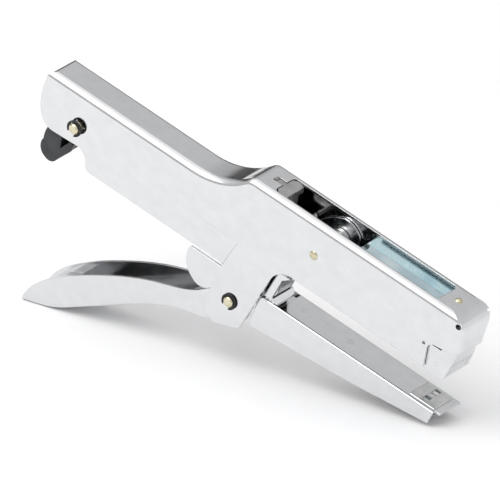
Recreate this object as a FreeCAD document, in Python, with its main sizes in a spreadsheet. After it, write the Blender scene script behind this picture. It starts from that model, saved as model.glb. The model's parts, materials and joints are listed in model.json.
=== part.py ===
import FreeCAD, Part
import math
import os

from FreeCAD import Vector

# Hand stapler of the plier kind, all sheet metal. Everything is drawn in the body frame first:
# origin on the main pivot, x towards the nose, y across, z up. One common placement then pitches
# the whole tool nose down, so that it stands on the lower handle's tip and the front of the anvil
# arm, and puts the origin at the bottom centre of its box.

doc = FreeCAD.newDocument("hand_stapler")

# ---------------------------------------------------------------- driving dimensions (mm, degrees)
DIMENSIONS = {
    "sheet": 1.0,
    "front_width": 19.4,
    "rear_width": 17.0,
    "front_top": 54.8,
    "rear_top": 43.0,
    "front_corner": 2.7,
    "rear_corner": 3.0,
    "rear_end": -105.8,
    "front_end": 99.8,
    "ramp_start": -33.5,
    "ramp_end": -5.25,
    "ramp_radius": 35.0,
    "crest_radius": 4.7,
    "strip_bottom": 12.5,
    "strip_top": 26.6,
    "body_bottom": 26.2,
    "nose_bend": 9.0,
    "nose_corner": 3.5,
    "pivot_radius": 2.15,
    "clip_radius": 3.4,
    "clip_thick": 0.6,
    "jaw_pin_x": 28.5,
    "jaw_pin_z": 41.3,
    "jaw_pin_radius": 1.9,
    "latch_pin_x": -86.5,
    "latch_pin_z": 27.8,
    "handle_width": 16.8,
    "handle_sheet": 1.0,
    "handle_travel": 27.0,
    "drive_radius": 19.0,
    "drive_pin_radius": 1.9,
    "drive_play": 0.1,
    "arm_width": 15.4,
    "arm_sheet": 1.0,
    "arm_top": 8.9,
    "arm_front": 96.5,
    "ear_low_width": 13.3,
    "ear_high_width": 16.8,
    "ear_sheet": 0.9,
    "ear_head_radius": 13.0,
    "magazine_width": 14.2,
    "magazine_sheet": 0.5,
    "magazine_bottom": 26.8,
    "magazine_height": 6.9,
    "magazine_front": 96.2,
    "rail_width": 11.0,
    "nose_width": 16.7,
    "nose_sheet": 0.7,
    "window_rear": 2.4,
    "window_front": 83.0,
    "window_width": 13.0,
    "driver_thick": 0.5,
    "driver_width": 12.4,
    "driver_x": 96.7,
    "driver_rivet_x": 88.6,
    "rivet_head": 1.6,
    "rod_radius": 0.8,
    "running_fit": 0.05,
    "stand_pitch": 17.9,
}

sheet = doc.addObject("Spreadsheet::Sheet", "dimensions")
for row, (alias, value) in enumerate(DIMENSIONS.items(), start=1):
    sheet.set("A%d" % row, alias)
    sheet.set("B%d" % row, str(value))
    sheet.setAlias("B%d" % row, alias)
doc.recompute()


def dim(alias):
    """Value of one driving dimension, read from the sheet."""
    return float(sheet.get(alias))


SUB_PARTS = {}


def register(label, obj):
    """Name a finished sub-part, so that it is placed, checked and written."""
    obj.Label = label
    SUB_PARTS[label] = obj
    return obj


# ---------------------------------------------------------------- shape helpers
def outline_face(points, y=0.0):
    """Closed face in the x-z plane. A point is (x, z); ("arc", x1, z1, x2, z2) is an arc through
    the first pair that ends at the second; ("curve", [(x, z), ...]) is a smooth curve."""
    start = Vector(points[0][0], y, points[0][1])
    here = start
    edges = []
    for point in points[1:] + [points[0]]:
        if point[0] == "arc":
            middle = Vector(point[1], y, point[2])
            there = Vector(point[3], y, point[4])
            edges.append(Part.Arc(here, middle, there).toShape())
        elif point[0] == "curve":
            spots = [here] + [Vector(x, y, z) for x, z in point[1]]
            spline = Part.BSplineCurve()
            spline.interpolate(spots)
            there = spots[-1]
            edges.append(spline.toShape())
        else:
            there = Vector(point[0], y, point[1])
            if there.distanceToPoint(here) < 1e-6:
                continue
            edges.append(Part.makeLine(here, there))
        here = there
    return Part.Face(Part.Wire(edges))


def slab(points, y_low, y_high):
    """Side outline given a thickness from y_low to y_high."""
    return outline_face(points, y_low).extrude(Vector(0, y_high - y_low, 0))


def mirrored_pair(points, y_inner, y_outer):
    """The same side outline as two plates, one on each side of the middle plane."""
    return slab(points, y_inner, y_outer).fuse(slab(points, -y_outer, -y_inner))


def cross_pin(x, z, radius, half_length):
    return Part.makeCylinder(radius, 2 * half_length, Vector(x, -half_length, z), Vector(0, 1, 0))


def feature(label, shape):
    """Part::Feature for sheet metal whose bends and lofts no primitive or sketch pad gives."""
    obj = doc.addObject("Part::Feature", label)
    obj.Shape = shape
    return register(label, obj)


def bound(obj, **formulas):
    for name, formula in formulas.items():
        obj.setExpression(name, formula)
    return obj


def cylinder_across(name, radius, half_length, x_formula, z_formula):
    """Part::Cylinder along y, centred on the middle plane, with its sizes bound to the sheet."""
    obj = doc.addObject("Part::Cylinder", name)
    obj.Placement = FreeCAD.Placement(Vector(0, 0, 0), FreeCAD.Rotation(Vector(1, 0, 0), -90))
    bound(obj, Radius=radius, Height="2 * (%s)" % half_length)
    obj.setExpression("Placement.Base.x", x_formula)
    obj.setExpression("Placement.Base.y", "-(%s)" % half_length)
    obj.setExpression("Placement.Base.z", z_formula)
    return obj


def joined(name, kind, shapes):
    obj = doc.addObject(kind, name)
    obj.Shapes = shapes
    return obj


def body_with_pad(label, role, points, length_formula, middle=True):
    """PartDesign body: one closed sketch of straight lines and arcs, padded to a bound length."""
    body = doc.addObject("PartDesign::Body", label)
    sketch = body.newObject("Sketcher::SketchObject", label + "_sketch")
    plane = [f for f in body.Origin.OriginFeatures if f.Role == role][0]
    sketch.AttachmentSupport = [(plane, "")]
    sketch.MapMode = "FlatFace"
    draw_outline(sketch, points)
    pad = body.newObject("PartDesign::Pad", label + "_pad")
    pad.Profile = sketch
    pad.Midplane = middle
    pad.setExpression("Length", length_formula)
    return body


def draw_outline(sketch, points):
    start = Vector(points[0][0], points[0][1], 0)
    here = start
    for point in points[1:] + [points[0]]:
        if point[0] == "arc":
            middle = Vector(point[1], point[2], 0)
            there = Vector(point[3], point[4], 0)
            sketch.addGeometry(Part.Arc(here, middle, there), False)
        else:
            there = Vector(point[0], point[1], 0)
            if there.distanceToPoint(here) < 1e-6:
                continue
            sketch.addGeometry(Part.LineSegment(here, there), False)
        here = there


def pocket(body, name, role, points, length_formula, offset=0.0):
    """Cut one closed sketch through a body, both ways from its plane."""
    sketch = body.newObject("Sketcher::SketchObject", name + "_sketch")
    plane = [f for f in body.Origin.OriginFeatures if f.Role == role][0]
    sketch.AttachmentSupport = [(plane, "")]
    sketch.MapMode = "FlatFace"
    sketch.AttachmentOffset = FreeCAD.Placement(Vector(0, 0, offset), FreeCAD.Rotation())
    draw_outline(sketch, points)
    cut = body.newObject("PartDesign::Pocket", name)
    cut.Profile = sketch
    cut.Midplane = True
    cut.setExpression("Length", length_formula)
    return cut


# ---------------------------------------------------------------- values worked out from the sheet
wall = dim("sheet")
front_half = dim("front_width") / 2
rear_half = dim("rear_width") / 2
front_top = dim("front_top")
rear_top = dim("rear_top")
jaw_x, jaw_z = dim("jaw_pin_x"), dim("jaw_pin_z")
latch_x, latch_z = dim("latch_pin_x"), dim("latch_pin_z")
pin_span = math.hypot(jaw_x, jaw_z)
pin_line = math.degrees(math.atan2(jaw_z, jaw_x))
half_travel = dim("handle_travel") / 2
drive_angle = math.radians(pin_line + half_travel)
drive_x = dim("drive_radius") * math.cos(drive_angle)
drive_z = dim("drive_radius") * math.sin(drive_angle)
jaw_travel = 2 * math.degrees(math.atan2(
    dim("drive_radius") * math.sin(math.radians(half_travel)),
    pin_span - dim("drive_radius") * math.cos(math.radians(half_travel))))
slot_far = math.hypot(jaw_x - drive_x, jaw_z - drive_z)
slot_near = pin_span - dim("drive_radius")
FAR = 400.0


# ---------------------------------------------------------------- upper shell
def channel_section(x, half_width, top, corner, bottom=-40.0):
    """Closed section of a round-cornered block, square below, in the plane at x."""
    edges = []
    left, right = -half_width, half_width
    slant = corner * (1 - math.sqrt(0.5))
    path = [
        (left, bottom), (left, top - corner),
        ("arc", left + slant, top - slant, left + corner, top),
        (right - corner, top),
        ("arc", right - slant, top - slant, right, top - corner),
        (right, bottom),
    ]
    here = Vector(x, path[0][0], path[0][1])
    for point in path[1:] + [path[0]]:
        if point[0] == "arc":
            there = Vector(x, point[3], point[4])
            edges.append(Part.Arc(here, Vector(x, point[1], point[2]), there).toShape())
        else:
            there = Vector(x, point[0], point[1])
            edges.append(Part.makeLine(here, there))
        here = there
    return Part.Wire(edges)


def straight_block(x_low, x_high, half_width, top, corner):
    return Part.Face(channel_section(x_low, half_width, top, corner)).extrude(Vector(x_high - x_low, 0, 0))


def ramp_profile():
    """Stations of the step in the top: (x, z, slope angle) along a wide hollow arc and a tight crest."""
    hollow, crest = dim("ramp_radius"), dim("crest_radius")
    rise = front_top - rear_top
    steepest = math.acos(1 - rise / (hollow + crest))
    stations = []
    for step in range(9):
        angle = steepest * step / 8
        x = dim("ramp_start") + hollow * math.sin(angle)
        z = rear_top + hollow * (1 - math.cos(angle))
        stations.append((x, z, angle))
    turn_x, turn_z = stations[-1][0], stations[-1][1]
    for step in range(1, 5):
        angle = steepest * (1 - step / 4)
        x = turn_x + crest * (math.sin(steepest) - math.sin(angle))
        z = turn_z + crest * (math.cos(angle) - math.cos(steepest))
        stations.append((x, z, angle))
    return stations


def ramp_block(inset):
    """The step between the narrow rear and the wide front, set in by inset."""
    sections = []
    for x, z, angle in ramp_profile():
        blend = (z - rear_top) / (front_top - rear_top)
        top = z - inset / math.cos(angle)
        half = rear_half + (front_half - rear_half) * blend - inset
        corner = dim("rear_corner") + (dim("front_corner") - dim("rear_corner")) * blend - inset
        sections.append(channel_section(x, half, top, corner))
    return Part.makeLoft(sections, True, False)


def rounded_front(x_front, half_width, radius):
    """Tall block whose two upright front edges are rounded, to round what it is intersected with."""
    x_back = -30.0
    base, height = -60.0, 140.0
    block = Part.makeBox(x_front - x_back, 2 * half_width, height, Vector(x_back, -half_width, base))
    tall = [e for e in block.Edges if e.BoundBox.ZLength > height - 1]
    uprights = [e for e in tall if e.BoundBox.XMin > x_front - 1e-3]
    return block.makeFillet(radius, uprights)


def rear_side():
    """Side outline of the narrow upper handle, with the strip that ends beside the pivot plate."""
    low = dim("strip_bottom")
    end = dim("rear_end")
    start = dim("ramp_start")
    return [
        (start, rear_top + 1), (end + 7, rear_top + 1), (end + 3.2, rear_top + 0.1),
        ("arc", end + 1.0, rear_top - 1.2, end + 0.4, rear_top - 4.0),
        ("arc", end + 0.2, 31.5, end + 2.0, 24.7),
        ("arc", end + 4.6, 21.4, end + 9.5, 19.7),
        (end + 20.5, 20.2), ("arc", end + 25.3, 18.9, end + 27.6, 15.1),
        ("arc", end + 28.4, 13.2, end + 30.2, low),
        (-8.3, low), (-4.9, 25.0), (-4.9, dim("strip_top")), (start, dim("strip_top")),
    ]


def front_side():
    """Side outline of the wide front: jaw cover, pivot plate and the lobe behind it."""
    low = dim("body_bottom")
    front_end = dim("front_end")
    ramp_end = dim("ramp_end")
    return [
        (ramp_end, 60), (front_end + 5, 60), (front_end + 5, 39.6), (front_end - 1.0, 38.8),
        (89.6, 37.8), ("arc", 87.0, 36.4, 86.5, 33.5),
        (87.4, low), (24.0, low), ("arc", 17.2, 24.6, 13.6, 19.4),
        (7.3, -8.6), (-3.9, -13.0), ("arc", -9.9, -9.0, -10.6, -2.0), (-9.6, 0.6),
        ("arc", -13.6, -1.9, -18.6, -0.6), ("arc", -23.2, 4.6, -23.6, 11.2), (-23.2, 11.7),
        (-8.3, 11.7), (-7.9, 12.6), (-4.5, 25.0), (-4.5, 25.7), (ramp_end, 25.7),
    ]


def build_upper_shell():
    top_radius = dim("front_corner")
    nose_bend = dim("nose_bend")
    nose_corner = dim("nose_corner")
    rear_outer = straight_block(dim("rear_end"), dim("ramp_start"), rear_half, rear_top, dim("rear_corner"))
    strip_outer = straight_block(dim("ramp_start"), -4.9, rear_half, dim("strip_top"), 0.01)
    rear_inner = straight_block(dim("rear_end") + wall, dim("ramp_start"), rear_half - wall,
                                rear_top - wall, dim("rear_corner") - wall)
    strip_inner = straight_block(dim("ramp_start") - 1, -4.0, rear_half - wall, dim("strip_top") + 1, 0.01)
    rear = rear_outer.fuse(strip_outer).cut(rear_inner).cut(strip_inner)
    rear = rear.common(slab(rear_side(), -30, 30))
    inner_half = rear_half - wall
    rear_opening = Part.makeBox(6, 2 * inner_half, 31.0, Vector(dim("rear_end") - 3, -inner_half, 0))
    rear = rear.cut(rear_opening)

    ramp = ramp_block(0).cut(ramp_block(wall))
    ramp = ramp.common(Part.makeBox(40, 60, 40, Vector(-35, -30, 25.2)))

    outer = straight_block(-25, dim("front_end"), front_half, front_top, top_radius)
    front_end = dim("front_end")
    inner = straight_block(-26, front_end - wall, front_half - wall, front_top - wall, top_radius - wall)
    bend_away = slab([
        (front_end - nose_bend, front_top + 5), (front_end - nose_bend, front_top),
        ("arc", front_end - nose_bend * (1 - math.sqrt(0.5)), front_top - nose_bend * (1 - math.sqrt(0.5)),
         front_end, front_top - nose_bend),
        (front_end + 5, front_top - nose_bend), (front_end + 5, front_top + 5),
    ], -30, 30)
    inner_bend = nose_bend - wall
    inner_end = front_end - wall
    inner_top = front_top - wall
    inner_away = slab([
        (inner_end - inner_bend, inner_top + 5), (inner_end - inner_bend, inner_top),
        ("arc", inner_end - inner_bend * (1 - math.sqrt(0.5)), inner_top - inner_bend * (1 - math.sqrt(0.5)),
         inner_end, inner_top - inner_bend),
        (inner_end + 5, inner_top - inner_bend), (inner_end + 5, inner_top + 5),
    ], -30, 30)
    outer = outer.cut(bend_away).common(rounded_front(front_end, front_half, nose_corner))
    inner = inner.cut(inner_away).common(rounded_front(inner_end, front_half - wall, nose_corner - wall))
    front = outer.cut(inner)
    front = front.common(slab(front_side(), -30, 30))

    slit = slab([(-15.8, 25.35), (-4.4, 26.25), (-4.4, 25.05), (-15.8, 25.2)], -20, 20)
    shell = rear.fuse(ramp.cut(slit)).fuse(front.cut(slit))
    window = top_window()
    shell = shell.cut(window)
    for side in (-1, 1):
        relief = Part.makeCylinder(1.2, 4.2, Vector(96.5, side * 12.5, 51.3), Vector(0, -side, 0))
        shell = shell.cut(relief)
        shell = shell.cut(Part.makeCylinder(0.7, 4, Vector(84.6, side * 11, 35.9), Vector(0, -side, 0)))
    for x, z, radius in ((0, 0, dim("pivot_radius")), (latch_x, latch_z, dim("pivot_radius")),
                         (jaw_x, jaw_z, dim("jaw_pin_radius") - 0.4)):
        shell = shell.cut(cross_pin(x, z, radius, 20))
    rivet_hole = Part.makeCylinder(1.0, 4, Vector(dim("driver_rivet_x"), 0, front_top - 3))
    return shell.cut(rivet_hole).removeSplitter()


def top_window():
    """Opening in the top: a long round-cornered window with a narrow notch behind it."""
    rear, front = dim("window_rear"), dim("window_front")
    half = dim("window_width") / 2
    opening = Part.makeBox(front - rear, 2 * half, 6, Vector(rear, -half, front_top - 3))
    opening = opening.makeFillet(1.6, [e for e in opening.Edges if abs(e.BoundBox.ZLength - 6) < 1e-6])
    notch = Part.makeBox(5.2, 3.0, 6, Vector(rear - 4.6, -1.5, front_top - 3))
    return opening.fuse(notch)


feature("upper_shell", build_upper_shell())


# ---------------------------------------------------------------- pins, clips and rivets
def pivot_pin(label, x_value, z_value):
    """Plain pin through both side plates, its rounded ends standing proud for the clips."""
    half = front_half + 1.6
    pin = cross_pin(x_value, z_value, dim("pivot_radius"), half)
    pin = pin.makeChamfer(0.5, [e for e in pin.Edges if abs(e.BoundBox.YLength) < 1e-6])
    for side in (-1, 1):
        groove_low = front_half + 0.15 if side > 0 else -front_half - 0.15 - dim("clip_thick")
        groove = cross_ring(x_value, z_value, dim("pivot_radius") - 0.5, dim("pivot_radius") + 1, groove_low,
                            dim("clip_thick"))
        pin = pin.cut(groove)
    return feature(label, pin)


def cross_ring(x, z, inner, outer, y_low, thick):
    """Flat ring in the x-z plane, from y_low towards +y."""
    base = Vector(x, y_low, z)
    ring = Part.makeCylinder(outer, thick, base, Vector(0, 1, 0))
    return ring.cut(Part.makeCylinder(inner, thick, base, Vector(0, 1, 0)))


def retaining_clips(label, x_value, z_value):
    """Two open retaining clips, one on each end of a pin, with their mouths turned down."""
    clips = []
    thick = dim("clip_thick") - 0.1
    for side in (-1, 1):
        y_low = front_half + 0.2 if side > 0 else -front_half - 0.2 - thick
        ring = cross_ring(x_value, z_value, dim("pivot_radius") - 0.48, dim("clip_radius"), y_low, thick)
        mouth = Part.makeBox(3.0, 3 * thick, 4.5, Vector(x_value - 1.5, y_low - thick, z_value - 5.5))
        mouth.rotate(Vector(x_value, 0, z_value), Vector(0, 1, 0), 18)
        ring = ring.cut(mouth)
        for angle in (-65, 65):
            bite_base = Vector(x_value, y_low - thick, z_value + dim("pivot_radius"))
            bite = Part.makeCylinder(0.55, 3 * thick, bite_base, Vector(0, 1, 0))
            bite.rotate(Vector(x_value, 0, z_value), Vector(0, 1, 0), angle + 18)
            ring = ring.cut(bite)
        clips.append(ring)
    return feature(label, Part.makeCompound(clips))


pivot_pin("pivot_pin", 0, 0)
retaining_clips("pivot_clips", 0, 0)
pivot_pin("latch_pin", latch_x, latch_z)
retaining_clips("latch_clips", latch_x, latch_z)


def domed_head(x, z, radius, height, y_face, side):
    """Low dome of a rivet on a side plate."""
    ball = (radius * radius + height * height) / (2 * height)
    centre = Vector(x, y_face + side * (height - ball), z)
    dome = Part.makeSphere(ball, centre)
    keep = Part.makeCylinder(radius, height, Vector(x, y_face, z), Vector(0, side, 0))
    return dome.common(keep)


def build_jaw_rivet():
    """Shouldered rivet: the jaw turns on its middle, its necks are riveted over the side plates."""
    neck = cross_pin(jaw_x, jaw_z, dim("jaw_pin_radius") - 0.4, front_half + 0.1)
    middle = cross_pin(jaw_x, jaw_z, dim("jaw_pin_radius"), front_half - wall)
    rivet = neck.fuse(middle)
    for side in (-1, 1):
        rivet = rivet.fuse(domed_head(jaw_x, jaw_z, dim("jaw_pin_radius"), 0.7, side * front_half, side))
    return rivet.removeSplitter()


feature("jaw_rivet", build_jaw_rivet())

sleeve_outer = cylinder_across("jaw_sleeve_outer", "dimensions.jaw_pin_radius + 2.6", "5.4",
                               "dimensions.jaw_pin_x", "dimensions.jaw_pin_z")
sleeve_bore = cylinder_across("jaw_sleeve_bore", "dimensions.jaw_pin_radius + dimensions.running_fit", "8",
                              "dimensions.jaw_pin_x", "dimensions.jaw_pin_z")
sleeve_flange = cylinder_across("jaw_sleeve_flange", "dimensions.jaw_pin_radius + 3.4", "7.2",
                                "dimensions.jaw_pin_x", "dimensions.jaw_pin_z")
flange_waist = cylinder_across("jaw_sleeve_waist", "dimensions.jaw_pin_radius + 6", "5.4",
                               "dimensions.jaw_pin_x", "dimensions.jaw_pin_z")
flanges = doc.addObject("Part::Cut", "jaw_sleeve_flanges")
flanges.Base = sleeve_flange
flanges.Tool = flange_waist
sleeve_solid = joined("jaw_sleeve_solid", "Part::MultiFuse", [sleeve_outer, flanges])
jaw_sleeve = doc.addObject("Part::Cut", "jaw_sleeve")
jaw_sleeve.Base = sleeve_solid
jaw_sleeve.Tool = sleeve_bore
register("jaw_sleeve", jaw_sleeve)


# ---------------------------------------------------------------- driver under the top
def build_driver_channel():
    """Zinc-plated channel under the top that carries the driver blade."""
    half = 8.3
    floor = 48.4
    rim = front_top - 1.8
    x_low, x_high = 41.5, 94.6
    channel = Part.makeBox(x_high - x_low, 2 * half, rim - floor, Vector(x_low, -half, floor))
    long_edges = [e for e in channel.Edges if e.BoundBox.XLength > 10 and e.BoundBox.ZMax < floor + 0.1]
    channel = channel.makeFillet(1.4, long_edges)
    inner = half - wall
    hollow = Part.makeBox(x_high - x_low + 2, 2 * inner, 20, Vector(x_low - 1, -inner, floor + wall))
    channel = channel.cut(hollow)
    base = floor + wall - 0.01
    crown = floor + wall + 0.95
    for side in (-1, 1):
        rib = Part.makePolygon([
            Vector(44, side * 0.3, base), Vector(44, side * 3.6, crown),
            Vector(44, side * 3.6, base), Vector(44, side * 0.3, base)])
        channel = channel.fuse(Part.Face(rib).extrude(Vector(42, 0, 0)))
    corner = slab([(86.5, front_top), (94.8, 48.0), (110, 48.0), (110, 60)], -30, 30)
    channel = channel.cut(corner)
    return channel.cut(Part.makeCylinder(1.05, 3, Vector(dim("driver_rivet_x"), 0, floor - 1)))


feature("driver_channel", build_driver_channel())


def build_driver_blade():
    """Flat blade: a tongue under the channel floor, bent down behind the nose plate."""
    thick = dim("driver_thick")
    half = dim("driver_width") / 2
    tongue_top = 48.3
    x = dim("driver_x")
    bend = 2.0
    inner_bend = bend - thick
    outer_slant = bend * (1 - math.sqrt(0.5))
    inner_slant = inner_bend * (1 - math.sqrt(0.5))
    outline = [
        (80.0, tongue_top), (x + thick - bend, tongue_top),
        ("arc", x + thick - outer_slant, tongue_top - outer_slant, x + thick, tongue_top - bend),
        (x + thick, 35.0), (x, 35.0), (x, tongue_top - bend),
        ("arc", x - inner_slant, tongue_top - thick - inner_slant, x - inner_bend, tongue_top - thick),
        (80.0, tongue_top - thick),
    ]
    blade = slab(outline, -half, half)
    return blade.cut(Part.makeCylinder(1.05, 3, Vector(dim("driver_rivet_x"), 0, tongue_top - 2)))


feature("driver_blade", build_driver_blade())


def build_driver_rivet():
    """Rivet that holds the channel and the blade under the top."""
    x = dim("driver_rivet_x")
    foot_z = 46.9
    shank = Part.makeCylinder(1.0, front_top + 0.1 - foot_z, Vector(x, 0, foot_z))
    head = Part.makeSphere(2.0, Vector(x, 0, front_top - 1.15))
    head = head.common(Part.makeCylinder(dim("rivet_head"), 2, Vector(x, 0, front_top)))
    foot = Part.makeCylinder(1.8, 0.8, Vector(x, 0, foot_z))
    return shank.fuse(head).fuse(foot).removeSplitter()


feature("driver_rivet", build_driver_rivet())


def build_leaf_spring():
    """Return spring of the jaw: a plate in the window's rear end, hooked in its notch, whose leaf
    runs down behind the jaw's ears."""
    thick = 0.8
    rear = dim("window_rear")
    half = dim("window_width") / 2 - 0.3
    top = front_top - 0.3
    plate = slab([
        (rear + 0.3, top), (rear + 3.6, top), ("arc", rear + 4.9, top - 0.6, rear + 5.4, top - 2.0),
        (8.7, 46.4), (9.5, 45.4), (15.2, 45.3), (15.0, 44.5), (9.1, 44.6), (7.9, 46.2),
        (rear + 4.6, top - 2.1), ("arc", rear + 4.2, top - 1.2, rear + 3.4, top - thick),
        (rear + 0.3, top - thick),
    ], -half, half)
    bar = slab([(15.9, 43.8), (15.1, 43.6), (14.6, 45.2), (15.4, 45.4)], -front_half + 1.5, front_half - 1.5)
    tongue = Part.makeBox(5.0, 2.4, thick, Vector(rear - 4.3, -1.2, top - thick))
    hook = Part.makeBox(1.0, 2.4, 1.4, Vector(rear - 4.3, -1.2, top - thick))
    waist = Part.makeBox(12, 20, 8.4, Vector(rear + 4.0, 3.2, 43.0))
    other_waist = Part.makeBox(12, 20, 8.4, Vector(rear + 4.0, -23.2, 43.0))
    for side in (-1, 1):
        corner = Part.makeBox(2.2, 2.2, 3, Vector(rear + 0.3, side * half, top - 2))
        corner.rotate(Vector(rear + 0.3, side * half, top - 2), Vector(0, 0, 1), -45)
        plate = plate.cut(corner.translated(Vector(-1.55, 0, 0)))
    leaf = plate.cut(waist).cut(other_waist).fuse(bar).fuse(tongue).fuse(hook)
    return leaf.removeSplitter()


feature("jaw_return_leaf", build_leaf_spring())


# ---------------------------------------------------------------- lower handle
HANDLE_BOTTOM = [(-79.9, -55.2), (-74.1, -52.9), (-64.5, -46.6), (-55.6, -40.2), (-46.9, -33.8),
                 (-38.1, -27.6), (-30.0, -22.6), (-22.8, -19.0), (-16.0, -16.9), (-9.7, -15.2)]
HANDLE_TOP = [(-18.7, -7.3), (-26.8, -11.0), (-33.3, -13.4), (-41.5, -16.9), (-50.8, -21.8),
              (-62.2, -28.9), (-68.7, -33.4), (-75.6, -38.9), (-80.6, -43.6), (-85.0, -49.2), (-87.8, -56.8)]


def shifted(points, distance):
    """Row of points moved to the left of its direction by distance."""
    moved = []
    for index, point in enumerate(points):
        before = points[max(index - 1, 0)]
        after = points[min(index + 1, len(points) - 1)]
        length = math.hypot(after[0] - before[0], after[1] - before[1])
        normal = (-(after[1] - before[1]) / length, (after[0] - before[0]) / length)
        moved.append((point[0] + normal[0] * distance, point[1] + normal[1] * distance))
    return moved


def build_lower_handle():
    """Channel open upwards. Its walls reach round the pivot and carry the drive pin."""
    half = dim("handle_width") / 2
    thick = dim("handle_sheet")
    arm_x, arm_z = math.cos(drive_angle), math.sin(drive_angle)
    boss = dim("drive_pin_radius") + 1.7
    side_x, side_z = arm_z * boss, -arm_x * boss
    outline = [
        (-87.6, -57.6), ("curve", HANDLE_BOTTOM), (-3.6, -8.6),
        ("arc", 4.4, -8.2, 9.2, -1.2),
        (drive_x + side_x, drive_z + side_z),
        ("arc", drive_x + arm_x * boss, drive_z + arm_z * boss, drive_x - side_x, drive_z - side_z),
        (-8.6, 3.6), (-9.5, 0.3), ("curve", HANDLE_TOP),
    ]
    block = slab(outline, -half, half)
    floor_line = shifted([(-87.6, -57.6)] + HANDLE_BOTTOM, thick)
    hollow = slab([floor_line[0], ("curve", floor_line[1:]), (20, -30), (60, -30), (60, 60), (-120, 60),
                   (-120, -56.0)], -half + thick, half - thick)
    handle = block.cut(hollow)
    pads = slab([(-84.6, -52.2), (-84.0, -54.6), (-77.4, -53.0), (-70.6, -48.2), (-73.4, -42.2),
                 ("arc", -79.6, -46.0, -84.6, -52.2)], -half + thick - 0.05, half - thick + 0.05)
    handle = handle.fuse(pads)
    bottom_edges = []
    for edge in handle.Edges:
        box = edge.BoundBox
        outer = abs(abs(box.YMin) - half) < 1e-4 and abs(box.YMax - box.YMin) < 1e-4
        if outer and box.XMax < -9.0 and box.XLength > 50 and edge.CenterOfMass.z < -33:
            bottom_edges.append(edge)
    handle = handle.makeFillet(0.95, bottom_edges)
    handle = handle.cut(cross_pin(0, 0, dim("pivot_radius") + dim("running_fit"), 20))
    return handle.cut(cross_pin(drive_x, drive_z, dim("drive_pin_radius") - 0.5, 20))


feature("lower_handle", build_lower_handle())


def build_drive_pin():
    """Shouldered pin between the handle's two walls, riveted flush into them."""
    inner = dim("handle_width") / 2 - dim("handle_sheet")
    middle = cross_pin(drive_x, drive_z, dim("drive_pin_radius"), inner)
    ends = cross_pin(drive_x, drive_z, dim("drive_pin_radius") - 0.5, inner + dim("handle_sheet"))
    return middle.fuse(ends).removeSplitter()


feature("drive_pin", build_drive_pin())


def pivot_sleeve():
    outer = cylinder_across("pivot_sleeve_outer", "dimensions.pivot_radius + 1.2", "7.2", "0", "0")
    bore_radius = "dimensions.pivot_radius + dimensions.running_fit"
    bore = cylinder_across("pivot_sleeve_bore", bore_radius, "9", "0", "0")
    sleeve = doc.addObject("Part::Cut", "pivot_sleeve")
    sleeve.Base = outer
    sleeve.Tool = bore
    return register("pivot_sleeve", sleeve)


pivot_sleeve()


def build_handle_spring():
    """Torsion spring on the pivot sleeve: one leg on the handle's floor, one leg on the jaw."""
    wire = 0.8
    coil = 5.0
    pitch = 2 * wire + 0.25
    count = 5.5
    start_y = -pitch * count / 2
    helix = Part.makeHelix(pitch, pitch * count, coil)
    helix.rotate(Vector(0, 0, 0), Vector(1, 0, 0), -90)
    helix.translate(Vector(0, start_y, 0))
    section = Part.Wire(Part.Circle(Vector(coil, start_y, 0), Vector(0, 0, 1), wire).toShape())
    turns = Part.Wire(helix).makePipeShell([section], True, True)
    jaw_leg = Part.makeCylinder(wire, 9.4, Vector(coil, start_y, 0), Vector(0.45, 0, 0.893))
    handle_leg = Part.makeCylinder(wire, 24.0, Vector(-coil, -start_y, 0), Vector(-0.747, 0, -0.665))
    return turns.fuse(jaw_leg).fuse(handle_leg)


feature("handle_spring", build_handle_spring())


# ---------------------------------------------------------------- jaw: anvil arm and its lever
ANVIL_RIVETS = (85.8, 93.8)
LEVER_RIVETS = (27.0, 50.0)


def build_anvil_arm():
    """Inverted channel with tapering side walls, open at the rear of its top."""
    half = dim("arm_width") / 2
    thick = dim("arm_sheet")
    top = dim("arm_top")
    front = dim("arm_front")
    corner = 1.0
    outline = [
        (10.5, top - 2.4), ("arc", 11.1, top - 0.7, 13.0, top), (front + 2.4, top),
        (front + 2.4, top - thick - 0.4), (front, top - thick - 0.4), (front - 1.0, 3.0),
        (59.9, -1.4), (9.6, -6.0),
    ]
    block = slab(outline, -half, half)
    ridge = [e for e in block.Edges if e.BoundBox.XLength > 60 and abs(e.CenterOfMass.z - top) < 1e-3
             and abs(abs(e.CenterOfMass.y) - half) < 1e-3]
    block = block.makeFillet(corner, ridge)
    hollow = Part.makeBox(140, 2 * (half - thick), 40, Vector(-20, -half + thick, top - thick - 40))
    rear_hole = Part.makeBox(30, 2 * (half - thick), 10, Vector(-10, -half + thick, top - 5))
    arm = block.cut(hollow).cut(rear_hole)
    lip_trim = Part.makeBox(10, 1.9, 12, Vector(front, -half - 0.1, top - 11))
    arm = arm.cut(lip_trim)
    seat = Part.makeBox(12.4, 12.4, 4, Vector(83.6, -6.2, top - 0.6))
    arm = arm.cut(seat)
    for x in ANVIL_RIVETS:
        arm = arm.cut(Part.makeCylinder(1.0, 6, Vector(x, 0, top - 4)))
    for x in LEVER_RIVETS:
        arm = arm.cut(Part.makeCylinder(1.0, 6, Vector(x, 0, top - 4)))
    return arm.removeSplitter()


feature("anvil_arm", build_anvil_arm())


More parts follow.
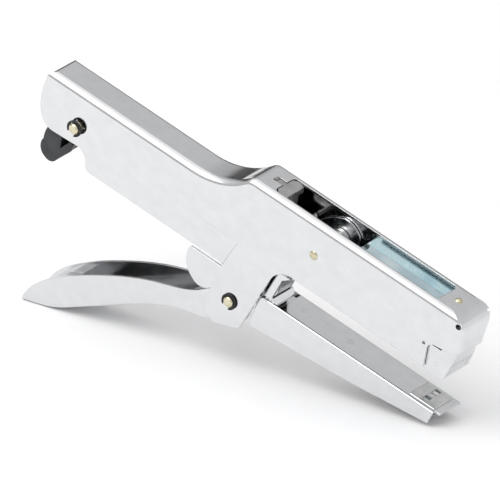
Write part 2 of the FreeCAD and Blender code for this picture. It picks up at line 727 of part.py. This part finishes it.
def build_anvil_plate():
    """Hardened clinching plate let into the arm's front, with two forming pockets."""
    top = dim("arm_top")
    plate = Part.makeBox(12.2, 12.2, 1.0, Vector(83.7, -6.1, top - 0.6))
    upper = [e for e in plate.Edges if e.BoundBox.ZMin > top + 0.3]
    plate = plate.makeChamfer(0.3, upper)
    for y in (-3.1, 3.1):
        pocket_tool = Part.makeCylinder(3.6, 2.8, Vector(88.4, y, top + 3.35), Vector(1, 0, 0))
        plate = plate.cut(pocket_tool)
    plate = plate.cut(Part.makeBox(2.0, 1.4, 0.4, Vector(88.8, -0.7, top + 0.2)))
    for x in ANVIL_RIVETS:
        plate = plate.cut(Part.makeCylinder(1.0, 3, Vector(x, 0, top - 1.5)))
    return plate


feature("anvil_plate", build_anvil_plate())


def small_rivets(label, spots, low, high, foot_radius):
    """Group of identical upright rivets, flush on top, with a flat foot below."""
    rivets = []
    for x in spots:
        shank = Part.makeCylinder(1.0, high - low, Vector(x, 0, low))
        foot = Part.makeCylinder(foot_radius, 0.5, Vector(x, 0, low - 0.5))
        rivets.append(shank.fuse(foot).removeSplitter())
    return feature(label, Part.makeCompound(rivets))


small_rivets("anvil_rivets", ANVIL_RIVETS, dim("arm_top") - dim("arm_sheet"), dim("arm_top") + 0.4, 1.4)


def slot_outline(clearance):
    """Slot for the drive pin, pointing at the jaw pin."""
    to_x = (jaw_x - drive_x) / slot_far
    to_z = (jaw_z - drive_z) / slot_far
    radius = dim("drive_pin_radius") + clearance
    lift = slot_far - slot_near + clearance
    near_x, near_z = drive_x + to_x * lift, drive_z + to_z * lift
    far_x, far_z = drive_x - to_x * clearance, drive_z - to_z * clearance
    across_x, across_z = -to_z * radius, to_x * radius
    return [
        (far_x + across_x, far_z + across_z),
        ("arc", far_x - to_x * radius, far_z - to_z * radius, far_x - across_x, far_z - across_z),
        (near_x - across_x, near_z - across_z),
        ("arc", near_x + to_x * radius, near_z + to_z * radius, near_x + across_x, near_z + across_z),
    ]


def build_jaw_lever():
    """Folded lever: a web riveted under the arm and two ears up to the jaw pin, which step
    outwards below the magazine so that it passes between them."""
    thick = dim("ear_sheet")
    low_half = dim("ear_low_width") / 2
    high_half = dim("ear_high_width") / 2
    step_low, step_high = 22.6, 25.6
    head = dim("ear_head_radius")
    ear_outline = [
        (2.0, 15.6), (2.0, 20.0), (14.6, 39.4),
        ("arc", jaw_x - head * 0.62, jaw_z + head * 0.42, jaw_x - 1.0, jaw_z + 9.6),
        ("arc", jaw_x + 8.2, jaw_z + 5.6, jaw_x + 9.8, jaw_z - 4.0),
        (jaw_x + 6.0, jaw_z - 12.0), (24.6, 25.8), (17.2, 20.0), (15.4, 10.6), (15.4, 7.8),
        (52.0, 7.8), (52.0, 5.6), (30.0, 3.4), (12.8, 2.4), (11.6, 7.0),
    ]
    low_part = mirrored_pair(ear_outline, low_half - thick, low_half)
    low_part = low_part.common(Part.makeBox(100, 60, 60 + step_low, Vector(-20, -30, -60)))
    high_part = mirrored_pair(ear_outline, high_half - thick, high_half)
    high_part = high_part.common(Part.makeBox(100, 60, 60, Vector(-20, -30, step_high)))
    steps = []
    for side in (-1, 1):
        section = Part.makePolygon([
            Vector(-20, side * (low_half - thick), step_low), Vector(-20, side * low_half, step_low),
            Vector(-20, side * high_half, step_high), Vector(-20, side * (high_half - thick), step_high),
            Vector(-20, side * (low_half - thick), step_low)])
        steps.append(Part.Face(section).extrude(Vector(100, 0, 0)))
    joggle = steps[0].fuse(steps[1]).common(slab(ear_outline, -30, 30))
    web = slab([(15.0, 10.2), (16.0, 10.4), (18.0, 7.8), (52.0, 7.8), (52.0, 6.9), (17.4, 6.9)],
               -low_half + 0.02, low_half - 0.02)
    lever = low_part.fuse(joggle).fuse(high_part).fuse(web)
    lever = lever.cut(cross_pin(jaw_x, jaw_z, dim("jaw_pin_radius") + dim("running_fit"), 20))
    lever = lever.cut(slab(slot_outline(dim("drive_play")), -20, 20))
    for x in LEVER_RIVETS:
        lever = lever.cut(Part.makeCylinder(1.0, 6, Vector(x, 0, 4)))
    return lever.removeSplitter()


feature("jaw_lever", build_jaw_lever())
small_rivets("lever_rivets", LEVER_RIVETS, 6.9, dim("arm_top"), 1.5)


# ---------------------------------------------------------------- magazine
NOSE_RIVETS = (87.6, 92.2)


def build_magazine_channel():
    """Open-topped channel for the staple strip, hooked on the latch pin at its rear."""
    half = dim("magazine_width") / 2
    thick = dim("magazine_sheet")
    low = dim("magazine_bottom")
    height = dim("magazine_height")
    front = dim("magazine_front")
    block = Part.makeBox(front + 80, 2 * half, height, Vector(-80, -half, low))
    hollow = Part.makeBox(front + 90, 2 * (half - thick), height, Vector(-85, -half + thick, low + thick))
    channel = block.cut(hollow)
    channel = channel.cut(slab([(91.0, 26.0), (96.8, 34.4), (130, 34.4), (130, 20), (91.0, 20)], -20, 20))
    cheek = [
        (-79.0, low), (-79.0, low + height), (-86.0, latch_z + 4.4),
        ("arc", latch_x - 4.4, latch_z, -86.0, latch_z - 4.4), (-80.0, low - 2.4), (-76.0, low),
        (-70.0, low + 1.0), (-70.0, low + height),
    ]
    cheeks = mirrored_pair(cheek, half - thick, half)
    channel = channel.fuse(cheeks)
    hole = cross_pin(latch_x, latch_z, dim("pivot_radius") + dim("running_fit"), 20)
    for x in (12.0, 36.0, 60.0):
        window = Part.makeBox(14, 4, 4, Vector(x, -2, low - 1))
        channel = channel.cut(window)
    for x in NOSE_RIVETS:
        channel = channel.cut(cross_pin(x, 30.2, 0.8, 20))
    return channel.cut(hole).removeSplitter()


feature("magazine_channel", build_magazine_channel())


def build_magazine_nose():
    """Nose folded round the front of the magazine, which guides the staple and the driver."""
    half = dim("nose_width") / 2
    thick = dim("nose_sheet")
    front = dim("magazine_front")
    outline = [
        (84.0, 36.4), (84.0, 26.8), (86.6, 26.5), ("arc", 87.8, 25.0, 89.8, 24.6), (front - 1.8, 24.6),
        ("arc", front - 0.2, 25.0, front + 0.6, 27.0), ("arc", front + 1.6, 32.8, front + 2.2, 38.6),
        (front + 2.2, 43.8), (front - 0.3, 43.8), (front - 4.2, 36.4),
    ]
    corner = 3.0
    block = slab(outline, -half, half).common(rounded_front(front + 2.2, half, corner))
    inner_half = half - thick
    hollow = slab([
        (80.0, 60.0), (80.0, 26.75), (88.4, 26.5), (front - 4.6, 26.5), (front + 0.9, 34.0),
        (front + 1.5, 60.0),
    ], -inner_half, inner_half)
    nose = block.cut(hollow.common(rounded_front(front + 1.5, inner_half, corner - thick)))
    gap = Part.makeBox(1.2, dim("driver_width") + 0.8, 30, Vector(dim("driver_x") - 0.35, -6.6, 20))
    nose = nose.cut(gap)
    for x in NOSE_RIVETS:
        nose = nose.cut(cross_pin(x, 30.2, 0.8, 20))
    return nose


feature("magazine_nose", build_magazine_nose())


def build_nose_rivets():
    """Four small side rivets between the magazine's walls and the nose."""
    rivets = []
    inner = dim("magazine_width") / 2 - dim("magazine_sheet")
    outer = dim("nose_width") / 2
    for x in NOSE_RIVETS:
        for side in (-1, 1):
            shank = Part.makeCylinder(0.8, outer - inner, Vector(x, side * inner, 30.2), Vector(0, side, 0))
            rivets.append(shank)
    return Part.makeCompound(rivets)


feature("nose_rivets", build_nose_rivets())

rail_web = body_with_pad("staple_rail", "XZ_Plane", [
    (-72.0, 27.3), (-72.0, 32.6), (95.2, 32.6), (91.4, 27.3),
], "dimensions.rail_width")
pocket(rail_web, "rail_hollow", "XZ_Plane", [
    (-80.0, 20.0), (-80.0, 31.8), (89.0, 31.8), (89.0, 20.0),
], "dimensions.rail_width - 2 * dimensions.magazine_sheet")
pocket(rail_web, "rail_slot", "XZ_Plane", [
    (-66.0, 31.0), (-66.0, 34.0), (89.0, 34.0), (89.0, 31.0),
], "3")
register("staple_rail", rail_web)

guide_rod = doc.addObject("Part::Cylinder", "guide_rod")
guide_rod.Placement = FreeCAD.Placement(Vector(-74.0, 0, 29.6), FreeCAD.Rotation(Vector(0, 1, 0), 90))
bound(guide_rod, Radius="dimensions.rod_radius", Height="162.5")
register("guide_rod", guide_rod)


def build_rod_holder():
    """Small angle at the magazine's rear in which the guide rod ends."""
    plate = Part.makeBox(1.0, 12.6, 6.0, Vector(-75.0, -6.3, 27.4))
    foot = Part.makeBox(4.0, 12.6, 0.8, Vector(-78.0, -6.3, 27.4))
    holder = plate.fuse(foot)
    return holder.cut(Part.makeCylinder(0.8, 8, Vector(-79, 0, 29.6), Vector(1, 0, 0))).removeSplitter()


feature("rod_holder", build_rod_holder())


def build_pusher_spring():
    """Long compression spring on the guide rod, behind the pusher."""
    wire = 0.25
    coil = 1.45
    low, high = -73.6, 75.6
    pitch = 3.6
    helix = Part.makeHelix(pitch, high - low, coil)
    section = Part.Wire(Part.Circle(Vector(coil, 0, 0), Vector(0, 1, 0), wire).toShape())
    spring = Part.Wire(helix).makePipeShell([section], True, True)
    spring.rotate(Vector(0, 0, 0), Vector(0, 1, 0), 90)
    spring.translate(Vector(low, 0, 29.6))
    return spring


feature("pusher_spring", build_pusher_spring())


def build_pusher():
    """Saddle that straddles the rail behind the staples, with a tongue down to the rod."""
    outer = 6.25
    rear = 76.0
    saddle = Part.makeBox(16, 2 * outer, 6.0, Vector(rear, -outer, 27.7))
    hollow = Part.makeBox(18, 11.6, 5.5, Vector(rear - 1.0, -5.8, 27.4))
    saddle = saddle.cut(hollow)
    tongue = Part.makeBox(1.2, 2.2, 5.4, Vector(rear + 0.2, -1.1, 27.8))
    tongue = tongue.cut(Part.makeCylinder(0.86, 5, Vector(rear - 1, 0, 29.6), Vector(1, 0, 0)))
    tail = Part.makeBox(3.0, 7.0, 0.6, Vector(rear - 2.8, -3.5, 33.1))
    return saddle.fuse(tongue).fuse(tail).removeSplitter()


feature("pusher", build_pusher())


def build_magazine_leaf():
    """Leaf spring between the driver channel and the magazine, which lifts the jaw cover again."""
    return slab([
        (76.0, 47.6), (86.0, 47.6), (86.0, 47.0), (77.0, 47.0), (50.0, 34.6), (46.0, 34.4), (46.0, 35.0),
        (49.8, 35.2),
    ], -3.5, 3.5)


feature("magazine_leaf", build_magazine_leaf())


# ---------------------------------------------------------------- rear latch
def build_latch():
    """Moulded hook on the latch pin with a finger notch, which holds the rear of the magazine."""
    half = 5.0
    outline = [
        (latch_x + 2.8, latch_z + 3.0), ("arc", latch_x - 1.0, latch_z + 4.3, latch_x - 4.4, latch_z + 1.6),
        (-96.6, 23.2), ("arc", -100.4, 18.0, -101.0, 11.6),
        ("arc", -100.8, 6.6, -98.0, 4.4), ("arc", -95.4, 4.0, -92.6, 7.0),
        (-88.0, 13.6), (-87.6, 16.6), (-89.2, 17.4), (-92.8, 11.8), (-93.4, 17.0),
        (latch_x - 2.0, latch_z - 4.0), ("arc", latch_x + 2.6, latch_z - 3.6, latch_x + 4.2, latch_z),
    ]
    hook = slab(outline, -half, half)
    return hook.cut(cross_pin(latch_x, latch_z, dim("pivot_radius") + dim("running_fit"), 20))


feature("latch", build_latch())


def build_latch_spring():
    """Small torsion spring of flat wire, wound close beside the latch, with one leg under the top."""
    inner, outer = 2.7, 3.1
    turn_width = 0.36
    gap = 0.04
    y_start = 5.15
    coil = cross_ring(latch_x, latch_z, inner, outer, y_start, turn_width)
    for turn in (1, 2):
        y_low = y_start + turn * (turn_width + gap)
        coil = coil.fuse(cross_ring(latch_x, latch_z, inner, outer, y_low, turn_width))
        step = Part.makeBox(1.2, gap, outer - inner, Vector(latch_x - 0.6, y_low - gap, latch_z + inner))
        coil = coil.fuse(step)
    leg = Part.makeBox(outer - inner, turn_width, 9.0, Vector(latch_x + inner, y_start, latch_z))
    return coil.fuse(leg)


feature("latch_spring", build_latch_spring())

# ---------------------------------------------------------------- common placement, checks, output
doc.recompute()


def placed_box(pitch):
    """Box of all sub-parts after the pitch, as six numbers."""
    spin = FreeCAD.Placement(Vector(0, 0, 0), FreeCAD.Rotation(Vector(0, 1, 0), pitch))
    low = [FAR] * 3
    high = [-FAR] * 3
    for obj in SUB_PARTS.values():
        shape = obj.Shape.copy()
        shape.Placement = spin.multiply(shape.Placement)
        box = shape.optimalBoundingBox(False, False)
        low = [min(low[0], box.XMin), min(low[1], box.YMin), min(low[2], box.ZMin)]
        high = [max(high[0], box.XMax), max(high[1], box.YMax), max(high[2], box.ZMax)]
    return low + high


pitch = dim("stand_pitch")
low_x, low_y, low_z, high_x, high_y, high_z = placed_box(pitch)
shift = Vector(-(low_x + high_x) / 2, -(low_y + high_y) / 2, -low_z)
stand = FreeCAD.Placement(shift, FreeCAD.Rotation(Vector(0, 1, 0), pitch))
for obj in SUB_PARTS.values():
    obj.Placement = stand.multiply(obj.Placement)
doc.recompute()

for obj in doc.Objects:
    if "Invalid" in obj.State or "Error" in obj.State:
        raise RuntimeError("failed object: " + obj.Name)
os.makedirs("parts", exist_ok=True)
for label, obj in SUB_PARTS.items():
    shape = obj.Shape
    if shape.isNull() or not shape.isValid() or not shape.Solids:
        raise RuntimeError("bad shape: " + label)
    shape.exportStep("parts/%s.step" % label)


def in_stand(x, z):
    point = stand.multVec(Vector(x, 0, z))
    return "%.5f, %.5f, %.5f" % (point.x / 1000, point.y / 1000, point.z / 1000)


print("size %.2f %.2f %.2f" % (high_x - low_x, high_y - low_y, high_z - low_z))
print("main pivot", in_stand(0, 0))
print("jaw pin", in_stand(jaw_x, jaw_z))
print("latch pin", in_stand(latch_x, latch_z))
print("jaw travel %.3f, ratio %.5f" % (jaw_travel, -jaw_travel / dim("handle_travel")))
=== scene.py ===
import json
import math

import bpy
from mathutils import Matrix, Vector


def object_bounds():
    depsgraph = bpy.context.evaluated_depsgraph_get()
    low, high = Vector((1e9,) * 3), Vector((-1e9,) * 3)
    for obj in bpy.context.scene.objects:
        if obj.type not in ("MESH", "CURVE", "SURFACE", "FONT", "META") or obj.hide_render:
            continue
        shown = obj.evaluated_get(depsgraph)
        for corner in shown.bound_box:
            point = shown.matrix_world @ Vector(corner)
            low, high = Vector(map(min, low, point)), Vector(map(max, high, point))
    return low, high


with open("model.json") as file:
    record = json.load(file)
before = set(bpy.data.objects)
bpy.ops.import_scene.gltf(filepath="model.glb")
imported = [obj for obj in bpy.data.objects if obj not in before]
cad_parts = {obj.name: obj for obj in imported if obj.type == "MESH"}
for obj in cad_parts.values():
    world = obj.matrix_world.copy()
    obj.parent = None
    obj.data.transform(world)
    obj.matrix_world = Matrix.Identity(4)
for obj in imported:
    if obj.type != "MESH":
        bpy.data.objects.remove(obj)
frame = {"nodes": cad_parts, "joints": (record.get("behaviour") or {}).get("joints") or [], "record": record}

CAD_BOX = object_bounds()
MM = 0.001

# ---------------------------------------------------------------- places, from the frame
JOINTS = {joint["name"]: joint for joint in frame["joints"]}
PIVOT = Vector(JOINTS["handle_squeeze"]["pos_m"])
FORWARD = -Vector(JOINTS["pusher_slide"]["axis"]).normalized()
ACROSS = Vector((0, 1, 0))
UPWARD = FORWARD.cross(ACROSS)


def at(x, y, z):
    """Point given in millimetres along, across and above the head, from the main pivot."""
    return PIVOT + MM * (x * FORWARD + y * ACROSS + z * UPWARD)


# ---------------------------------------------------------------- node materials
class Shader:
    """A Principled material and short calls that add nodes to it."""

    def __init__(self, name):
        self.material = bpy.data.materials.new(name)
        self.material.use_nodes = True
        self.tree = self.material.node_tree
        self.surface = self.tree.nodes["Principled BSDF"]
        self.place = self.tree.nodes.new("ShaderNodeTexCoord").outputs["Object"]

    def set(self, **values):
        """Plain numbers on the surface's own sockets, named with underscores for spaces."""
        for key, value in values.items():
            self.surface.inputs[key.replace("_", " ")].default_value = value
        return self

    def link(self, source, target):
        self.tree.links.new(source, target)

    def stretched(self, scale):
        """Object coordinates scaled along the object's length, width and height."""
        node = self.tree.nodes.new("ShaderNodeMapping")
        turn = math.atan2(-FORWARD.z, FORWARD.x)
        node.vector_type = "TEXTURE"
        node.inputs["Rotation"].default_value = (0, turn, 0)
        node.inputs["Scale"].default_value = [1 / number for number in scale]
        self.link(self.place, node.inputs["Vector"])
        return node.outputs["Vector"]

    def noise(self, scale, detail=3.0, rough=0.5, seed=0.0):
        node = self.tree.nodes.new("ShaderNodeTexNoise")
        node.noise_dimensions = "4D"
        node.inputs["Scale"].default_value = 1.0
        node.inputs["Detail"].default_value = detail
        node.inputs["Roughness"].default_value = rough
        node.inputs["W"].default_value = seed
        self.link(self.stretched(scale), node.inputs["Vector"])
        return node.outputs["Fac"]

    def ramp(self, value, stops):
        """Colour ramp; each stop is (place, colour or grey)."""
        node = self.tree.nodes.new("ShaderNodeValToRGB")
        elements = node.color_ramp.elements
        while len(elements) < len(stops):
            elements.new(0.5)
        for element, (place, colour) in zip(elements, stops):
            element.position = place
            grey = isinstance(colour, float)
            element.color = (colour, colour, colour, 1) if grey else (*colour, 1)
        self.link(value, node.inputs["Fac"])
        return node.outputs["Color"]

    def mixed(self, factor, first, second, blend="MIX"):
        node = self.tree.nodes.new("ShaderNodeMix")
        node.data_type = "RGBA"
        node.blend_type = blend
        colours = [socket for socket in node.inputs if socket.type == "RGBA"]
        for socket, value in ((colours[0], first), (colours[1], second), (node.inputs[0], factor)):
            if isinstance(value, bpy.types.NodeSocket):
                self.link(value, socket)
            elif isinstance(value, float):
                socket.default_value = value
            else:
                socket.default_value = (*value, 1)
        return [socket for socket in node.outputs if socket.type == "RGBA"][0]

    def bumps(self, layers, rounding=0.0):
        """Stack of bump layers (height, strength, distance in mm) over an edge rounding in mm."""
        normal = None
        if rounding:
            bevel = self.tree.nodes.new("ShaderNodeBevel")
            bevel.samples = 6
            bevel.inputs["Radius"].default_value = rounding * MM
            normal = bevel.outputs["Normal"]
        for height, strength, distance in layers:
            bump = self.tree.nodes.new("ShaderNodeBump")
            bump.inputs["Strength"].default_value = strength
            bump.inputs["Distance"].default_value = distance * MM
            self.link(height, bump.inputs["Height"])
            if normal is not None:
                self.link(normal, bump.inputs["Normal"])
            normal = bump.outputs["Normal"]
        self.link(normal, self.surface.inputs["Normal"])
        return self

    def colour(self, source):
        self.link(source, self.surface.inputs["Base Color"])
        return self

    def roughness(self, source):
        self.link(source, self.surface.inputs["Roughness"])
        return self


def chrome_plate():
    """Bright chrome over drawn sheet: soft waves, faint haze and a few fine lengthwise scratches."""
    shader = Shader("chrome_plate").set(Metallic=1.0)
    waves = shader.noise((45, 70, 90), 2.0, 0.45, 1.0)
    haze = shader.noise((160, 260, 260), 4.0, 0.6, 2.0)
    scratches = shader.noise((120, 2600, 3400), 2.0, 0.7, 3.0)
    tint = shader.ramp(haze, [(0.3, (0.70, 0.705, 0.715)), (0.7, (0.755, 0.76, 0.765))])
    shader.colour(tint)
    gloss = shader.ramp(haze, [(0.25, 0.07), (0.75, 0.15)])
    worn = shader.ramp(scratches, [(0.62, 0.0), (0.76, 0.22)])
    shader.roughness(shader.mixed(1.0, gloss, worn, "ADD"))
    return shader.bumps([(waves, 0.12, 0.5), (scratches, 0.05, 0.02)], 0.35).material


def zinc_plate():
    """Blue-passivated zinc with rolling marks and faint yellow-green iridescence."""
    shader = Shader("zinc_plate").set(Metallic=1.0)
    marks = shader.noise((90, 2400, 2400), 4.0, 0.6, 4.0)
    cloud = shader.noise((60, 90, 90), 3.0, 0.5, 5.0)
    blues = [(0.3, (0.30, 0.39, 0.42)), (0.5, (0.42, 0.51, 0.54)), (0.72, (0.52, 0.58, 0.58))]
    streaks = shader.ramp(marks, [(0.3, 0.55), (0.7, 1.0)])
    shader.colour(shader.mixed(0.25, shader.ramp(cloud, blues), streaks, "MULTIPLY"))
    shader.roughness(shader.ramp(marks, [(0.3, 0.14), (0.7, 0.28)]))
    return shader.bumps([(marks, 0.12, 0.05)], 0.2).material


def plain_steel(name, low, high, gloss, seed):
    """Bare or tempered steel with fine grinding lines."""
    shader = Shader(name).set(Metallic=1.0)
    lines = shader.noise((2400, 240, 2400), 3.0, 0.6, seed)
    cloud = shader.noise((140, 140, 140), 3.0, 0.5, seed + 0.5)
    shader.colour(shader.ramp(cloud, [(0.3, low), (0.7, high)]))
    shader.roughness(shader.ramp(lines, [(0.3, gloss), (0.7, gloss + 0.16)]))
    return shader.bumps([(lines, 0.1, 0.03)], 0.15).material


def brass_pin():
    """Yellow-passivated turned pins: pale brass with faint turning rings."""
    shader = Shader("brass_pin").set(Metallic=1.0)
    cloud = shader.noise((300, 300, 300), 3.0, 0.55, 8.0)
    shader.colour(shader.ramp(cloud, [(0.3, (0.50, 0.45, 0.28)), (0.7, (0.76, 0.71, 0.53))]))
    shader.roughness(shader.ramp(cloud, [(0.3, 0.22), (0.7, 0.38)]))
    return shader.bumps([(cloud, 0.15, 0.05)], 0.2).material


def black_oxide():
    """Oil-blackened spring steel, low sheen, worn brighter in patches."""
    shader = Shader("black_oxide").set(Metallic=0.6)
    cloud = shader.noise((700, 700, 700), 4.0, 0.6, 9.0)
    shader.colour(shader.ramp(cloud, [(0.45, (0.018, 0.018, 0.02)), (0.8, (0.07, 0.07, 0.075))]))
    shader.roughness(shader.ramp(cloud, [(0.3, 0.32), (0.7, 0.5)]))
    return shader.bumps([(cloud, 0.2, 0.05)], 0.12).material


def black_plastic():
    """Moulded black nylon with a fine spark-eroded grain and a soft sheen."""
    shader = Shader("black_plastic").set(Specular_IOR_Level=0.5)
    grain = shader.noise((2600, 2600, 2600), 2.0, 0.6, 10.0)
    cloud = shader.noise((120, 120, 120), 3.0, 0.5, 11.0)
    shader.colour(shader.ramp(cloud, [(0.35, (0.016, 0.017, 0.019)), (0.7, (0.045, 0.047, 0.05))]))
    shader.roughness(shader.ramp(grain, [(0.3, 0.32), (0.7, 0.5)]))
    return shader.bumps([(grain, 0.25, 0.04)], 0.4).material


MATERIALS = {
    "chrome_plate": chrome_plate(),
    "zinc_plate": zinc_plate(),
    "spring_steel": plain_steel("spring_steel", (0.36, 0.36, 0.36), (0.55, 0.55, 0.54), 0.24, 6.0),
    "hardened_steel": plain_steel("hardened_steel", (0.5, 0.51, 0.51), (0.68, 0.68, 0.67), 0.18, 7.0),
    "brass_pin": brass_pin(),
    "black_oxide": black_oxide(),
    "black_plastic": black_plastic(),
}


def dress_cad_nodes():
    """Give each CAD node the material of its record slot."""
    for part in frame["record"]["subparts"]:
        mesh = frame["nodes"][part["node"]].data
        mesh.materials.clear()
        mesh.materials.append(MATERIALS[part["material_slot"]])


dress_cad_nodes()


# ---------------------------------------------------------------- camera
AZIMUTH = math.radians(36.2)
ELEVATION = math.radians(25.2)
CAMERA_DISTANCE = 6.0
LENS = 1125.4
NEAR_FACE = 9.7
FRAMING_RIGHT = 7.85
FRAMING_UP = 19.7


def make_camera():
    """Long lens, looking down at the near side and the nose, aimed from the main pivot's near end."""
    sight = Vector((
        math.sin(AZIMUTH) * math.cos(ELEVATION),
        -math.cos(AZIMUTH) * math.cos(ELEVATION),
        math.sin(ELEVATION),
    ))
    right = Vector((math.cos(AZIMUTH), math.sin(AZIMUTH), 0))
    upright = sight.cross(right)
    target = at(0, -NEAR_FACE, 0) + MM * (FRAMING_RIGHT * right + FRAMING_UP * upright)
    data = bpy.data.cameras.new("camera")
    data.lens = LENS
    data.sensor_width = 36.0
    data.clip_end = 20.0
    camera = bpy.data.objects.new("camera", data)
    bpy.context.scene.collection.objects.link(camera)
    camera.location = target + CAMERA_DISTANCE * sight
    camera.rotation_euler = (-sight).to_track_quat("-Z", "Y").to_euler()
    bpy.context.scene.camera = camera


make_camera()


# ---------------------------------------------------------------- floor and light
FLOOR_HALF = 8.0
FLOOR_GAP = 0.0002
KEY_PLACE = (-0.45, -0.75, 1.3)
KEY_AIM = (0, 0, 0.03)
KEY_SIZE = (1.3, 1.3)
KEY_POWER = 9.8

# Brightness of the surround by height: (sine of the elevation, grey) from low to high.
FRONT = [(-0.2, 0.85), (-0.04, 0.62), (0.35, 0.62), (0.62, 0.8), (0.74, 1.15)]
BEHIND_HANDLES = [(-0.2, 0.5), (0.0, 0.08), (0.24, 0.12), (0.42, 0.5), (0.72, 0.66), (0.8, 1.1)]
BEHIND_NOSE = [(-0.2, 0.95), (0.0, 0.92), (0.35, 0.72), (0.72, 0.66), (0.8, 1.1)]


def make_floor():
    """Large white paper floor with a barely visible grain."""
    shader = Shader("floor_paper")
    grain = shader.noise((60, 60, 60), 4.0, 0.6, 12.0)
    shader.colour(shader.ramp(grain, [(0.3, 0.92), (0.7, 0.935)]))
    shader.set(Roughness=0.9)
    mesh = bpy.data.meshes.new("floor")
    half = FLOOR_HALF
    corners = [(-half, -half, 0), (half, -half, 0), (half, half, 0), (-half, half, 0)]
    mesh.from_pydata(corners, [], [(0, 1, 2, 3)])
    mesh.materials.append(shader.material)
    floor = bpy.data.objects.new("floor", mesh)
    floor.location.z = CAD_BOX[0][2] - FLOOR_GAP
    bpy.context.scene.collection.objects.link(floor)


def area_light(name, place, aim, size, power):
    """Rectangular light at place, turned towards aim; its size is (width, height)."""
    data = bpy.data.lights.new(name, "AREA")
    data.shape = "RECTANGLE"
    data.size, data.size_y = size
    data.energy = power
    light = bpy.data.objects.new(name, data)
    light.location = place
    light.rotation_euler = (Vector(aim) - Vector(place)).to_track_quat("-Z", "Y").to_euler()
    bpy.context.scene.collection.objects.link(light)


def make_world():
    """Studio surround that the chrome mirrors: banded in front, dark low behind the handles."""
    world = bpy.data.worlds.new("studio")
    world.use_nodes = True
    bpy.context.scene.world = world
    tree = world.node_tree
    place = tree.nodes.new("ShaderNodeTexCoord").outputs["Generated"]
    split = tree.nodes.new("ShaderNodeSeparateXYZ")
    tree.links.new(place, split.inputs[0])

    def banded(stops):
        """Grey by the height of the direction."""
        scaled = tree.nodes.new("ShaderNodeMapRange")
        scaled.inputs["From Min"].default_value = -1.0
        tree.links.new(split.outputs["Z"], scaled.inputs["Value"])
        node = tree.nodes.new("ShaderNodeValToRGB")
        node.color_ramp.interpolation = "EASE"
        elements = node.color_ramp.elements
        while len(elements) < len(stops):
            elements.new(0.5)
        for element, (height, grey) in zip(elements, stops):
            element.position = (height + 1) / 2
            element.color = (grey, grey, grey * 1.01, 1)
        tree.links.new(scaled.outputs["Result"], node.inputs["Fac"])
        return node.outputs["Color"]

    def blended(axis, low, high, first, second):
        """Smooth change from first to second as the direction's axis goes from low to high."""
        share = tree.nodes.new("ShaderNodeMapRange")
        share.interpolation_type = "SMOOTHSTEP"
        share.inputs["From Min"].default_value = low
        share.inputs["From Max"].default_value = high
        tree.links.new(split.outputs[axis], share.inputs["Value"])
        mix = tree.nodes.new("ShaderNodeMix")
        mix.data_type = "RGBA"
        colours = [socket for socket in mix.inputs if socket.type == "RGBA"]
        tree.links.new(share.outputs["Result"], mix.inputs[0])
        tree.links.new(first, colours[0])
        tree.links.new(second, colours[1])
        return [socket for socket in mix.outputs if socket.type == "RGBA"][0]

    behind = blended("X", -0.45, 0.1, banded(BEHIND_HANDLES), banded(BEHIND_NOSE))
    result = blended("Y", -0.05, 0.4, banded(FRONT), behind)
    tree.links.new(result, tree.nodes["Background"].inputs["Color"])
    tree.nodes["Background"].inputs["Strength"].default_value = 1.0


make_floor()
make_world()
area_light("key_light", KEY_PLACE, KEY_AIM, KEY_SIZE, KEY_POWER)
bpy.context.scene.view_settings.view_transform = "Standard"
